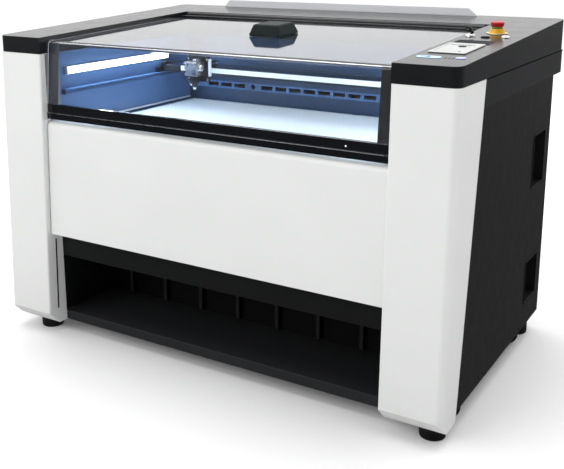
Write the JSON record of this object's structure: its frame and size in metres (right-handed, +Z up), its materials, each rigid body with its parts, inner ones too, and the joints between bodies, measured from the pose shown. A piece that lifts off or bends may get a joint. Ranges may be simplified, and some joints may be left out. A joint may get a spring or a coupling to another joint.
{
  "type": "laser cutter",
  "caption": "Enclosed laser cutter with a hinged clear lid, drop-down front door, rising table, moving gantry, side controls and an open storage niche, on casters and feet.",
  "frame": {"origin": "centre of the machine's footprint, on the floor", "axes": "+X along the width to the operator's right, +Y from the front to the rear, +Z up"},
  "size_m": [1.3, 0.848, 0.8996],
  "materials": {
    "white_paint": "satin white powder coat",
    "black_cap": "satin black powder coat",
    "dark_sheet": "fine textured charcoal powder coat",
    "niche_sheet": "matt black powder coat",
    "chamber_sheet": "blue-grey paint under cold light",
    "aluminium": "natural anodised",
    "steel": "zinc plated, fine brushed",
    "clear_acrylic": "clear polished acrylic",
    "frosted_acrylic": "frosted acrylic",
    "rubber": "matt moulded",
    "light_diffuser": "white diffuser, lit",
    "bed_surface": "bright matt anodised",
    "red_plastic": "gloss",
    "yellow_plastic": "gloss",
    "chrome": "polished",
    "display": "silver bezel round a grey screen",
    "black_plastic": "moulded"
  },
  "bodies": {
    "cabinet": {"base_frame": "dark_sheet", "base_tray": "niche_sheet", "chamber_floor": "chamber_sheet", "chamber_rear_wall": "chamber_sheet", "control_display": "display", "estop_base": "yellow_plastic", "exhaust_port": "black_plastic", "key_switch_barrel": "chrome", "laser_tube": "aluminium", "left_band": "black_cap", "left_column": "white_paint", "left_inner_wall": "chamber_sheet", "left_light_bar": "light_diffuser", "left_side_panel": "dark_sheet", "left_y_rail": "chamber_sheet", "levelling_foot_front_left": "rubber", "levelling_foot_front_right": "rubber", "levelling_foot_rear_left": "rubber", "levelling_foot_rear_right": "rubber", "niche_back_panel": "niche_sheet", "niche_fascia": "niche_sheet", "power_inlet": "black_plastic", "power_supply": "steel", "rear_band": "black_cap", "rear_panel": "dark_sheet", "rear_plate": "frosted_acrylic", "right_band": "black_cap", "right_column": "white_paint", "right_inner_wall": "chamber_sheet", "right_light_bar": "light_diffuser", "right_side_panel": "dark_sheet", "right_y_rail": "chamber_sheet", "start_button_ring": "chrome", "top_cap": "black_cap", "tube_cradle": "steel"},
    "lid": {"lid_window": "clear_acrylic", "lid_rail": "black_cap", "lid_left_frame": "black_cap", "lid_right_frame": "black_cap", "lid_hinge_bar": "black_cap", "camera_hood": "black_plastic"},
    "front_door": {"front_door": "white_paint"},
    "bed": {"bed_table": "bed_surface", "bed_frame": "aluminium"},
    "screw_left": {"bed_screw_left": "steel"},
    "screw_right": {"bed_screw_right": "steel"},
    "gantry": {"x_beam": "aluminium"},
    "carriage": {"carriage": "black_plastic", "focus_nozzle": "steel"},
    "estop_button": {"estop_button": "red_plastic"},
    "key": {"key": "black_plastic"},
    "start_button": {"start_button": "chrome"},
    "caster_front_left": {"caster_fork_front_left": "steel"},
    "wheel_front_left": {"caster_wheel_front_left": "rubber"},
    "caster_front_right": {"caster_fork_front_right": "steel"},
    "wheel_front_right": {"caster_wheel_front_right": "rubber"},
    "caster_rear_left": {"caster_fork_rear_left": "steel"},
    "wheel_rear_left": {"caster_wheel_rear_left": "rubber"},
    "caster_rear_right": {"caster_fork_rear_right": "steel"},
    "wheel_rear_right": {"caster_wheel_rear_right": "rubber"}
  },
  "joints": [
    {"name": "lid_hinge", "type": "hinge", "parent": "cabinet", "child": "lid", "pos_m": [0, 0.231, 0.86192], "axis": [-1, 0, 0], "range_deg": [0, 75]},
    {"name": "front_door_hinge", "type": "hinge", "parent": "cabinet", "child": "front_door", "pos_m": [0, -0.364, 0.303], "axis": [1, 0, 0], "range_deg": [0, 90]},
    {"name": "bed_lift", "type": "slide", "parent": "cabinet", "child": "bed", "axis": [0, 0, 1], "range_m": [-0.18, 0.015]},
    {"name": "gantry_slide", "type": "slide", "parent": "cabinet", "child": "gantry", "axis": [0, 1, 0], "range_m": [-0.38, 0.07]},
    {"name": "carriage_slide", "type": "slide", "parent": "gantry", "child": "carriage", "axis": [1, 0, 0], "range_m": [-0.08, 0.78]},
    {"name": "estop_press", "type": "slide", "parent": "cabinet", "child": "estop_button", "axis": [0, 0.0496, -0.9988], "range_m": [0, 0.004], "stiffness_N_per_m": 1500},
    {"name": "key_turn", "type": "hinge", "parent": "cabinet", "child": "key", "pos_m": [0.5245, 0.01, 0.85745], "axis": [0, 0.0496, -0.9988], "range_deg": [0, 90]},
    {"name": "start_press", "type": "slide", "parent": "cabinet", "child": "start_button", "axis": [0, 0.0496, -0.9988], "range_m": [0, 0.002], "stiffness_N_per_m": 800},
    {"name": "screw_left_spin", "type": "hinge", "parent": "cabinet", "child": "screw_left", "pos_m": [-0.4875, -0.042, 0.3025], "axis": [0, 0, 1], "range_deg": [-6540, 600]},
    {"name": "screw_right_spin", "type": "hinge", "parent": "cabinet", "child": "screw_right", "pos_m": [0.4875, -0.042, 0.3025], "axis": [0, 0, 1], "range_deg": [-6540, 600]},
    {"name": "caster_front_left_swivel", "type": "hinge", "parent": "cabinet", "child": "caster_front_left", "pos_m": [-0.575, -0.258, 0.0935], "axis": [0, 0, 1], "continuous": true},
    {"name": "wheel_front_left_spin", "type": "hinge", "parent": "caster_front_left", "child": "wheel_front_left", "pos_m": [-0.541, -0.258, 0.0265], "axis": [0, 1, 0], "continuous": true},
    {"name": "caster_front_right_swivel", "type": "hinge", "parent": "cabinet", "child": "caster_front_right", "pos_m": [0.575, -0.258, 0.0935], "axis": [0, 0, 1], "continuous": true},
    {"name": "wheel_front_right_spin", "type": "hinge", "parent": "caster_front_right", "child": "wheel_front_right", "pos_m": [0.609, -0.258, 0.0265], "axis": [0, 1, 0], "continuous": true},
    {"name": "caster_rear_left_swivel", "type": "hinge", "parent": "cabinet", "child": "caster_rear_left", "pos_m": [-0.575, 0.203, 0.0935], "axis": [0, 0, 1], "continuous": true},
    {"name": "wheel_rear_left_spin", "type": "hinge", "parent": "caster_rear_left", "child": "wheel_rear_left", "pos_m": [-0.541, 0.203, 0.0265], "axis": [0, 1, 0], "continuous": true},
    {"name": "caster_rear_right_swivel", "type": "hinge", "parent": "cabinet", "child": "caster_rear_right", "pos_m": [0.575, 0.203, 0.0935], "axis": [0, 0, 1], "continuous": true},
    {"name": "wheel_rear_right_spin", "type": "hinge", "parent": "caster_rear_right", "child": "wheel_rear_right", "pos_m": [0.609, 0.203, 0.0265], "axis": [0, 1, 0], "continuous": true}
  ],
  "couplings": [
    {"joint": "screw_left_spin", "follows": "bed_lift", "rad_per_m": 628.32},
    {"joint": "screw_right_spin", "follows": "bed_lift", "rad_per_m": 628.32}
  ]
}
